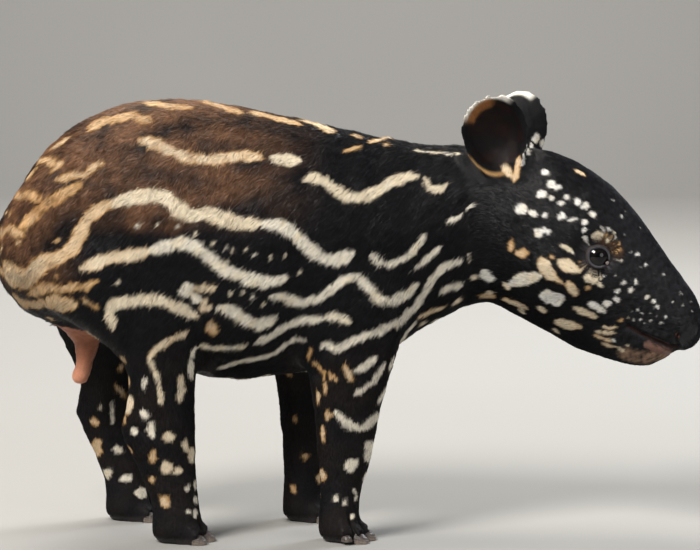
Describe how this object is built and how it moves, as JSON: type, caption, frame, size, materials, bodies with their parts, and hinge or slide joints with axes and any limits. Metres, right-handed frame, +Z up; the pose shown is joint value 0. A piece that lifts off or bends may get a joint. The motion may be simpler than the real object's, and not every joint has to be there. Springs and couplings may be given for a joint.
{
  "type": "malayan tapir calf",
  "caption": "Standing Malayan tapir calf, head low and ears up, with pale stripes and spots over a near-black coat.",
  "frame": {"origin": "middle of the bounding box's footprint, on the floor under the belly", "axes": "+X towards the nose, +Y to the animal's left, +Z up"},
  "size_m": [0.7202, 0.1968, 0.4411],
  "materials": {
    "coat": "short dense fur",
    "bare_skin": "soft bare skin",
    "hoof": "dull horn",
    "eye": "wet gloss"
  },
  "bodies": {
    "root": {"hind_right_thigh": "coat", "hind_right_shank": "coat", "hind_right_foot": "coat", "hind_right_hoof_middle": "hoof", "hind_right_hoof_inner": "hoof", "hind_right_hoof_outer": "hoof", "hind_left_thigh": "coat", "hind_left_shank": "coat", "hind_left_foot": "coat", "hind_left_hoof_middle": "hoof", "hind_left_hoof_inner": "hoof", "hind_left_hoof_outer": "hoof", "fore_right_shoulder": "coat", "fore_right_forearm": "coat", "fore_right_foot": "coat", "fore_right_hoof_middle": "hoof", "fore_right_hoof_inner": "hoof", "fore_right_hoof_outer": "hoof", "fore_right_hoof_side": "hoof", "fore_left_shoulder": "coat", "fore_left_forearm": "coat", "fore_left_foot": "coat", "fore_left_hoof_middle": "hoof", "fore_left_hoof_inner": "hoof", "fore_left_hoof_outer": "hoof", "fore_left_hoof_side": "hoof", "tail": "coat", "sheath": "bare_skin", "ear_left": "coat", "ear_right": "coat", "eye_left": "eye", "eye_right": "eye", "trunk": "coat", "neck": "coat", "lower_jaw": "coat", "snout": "coat", "head": "coat"}
  },
  "joints": []
}
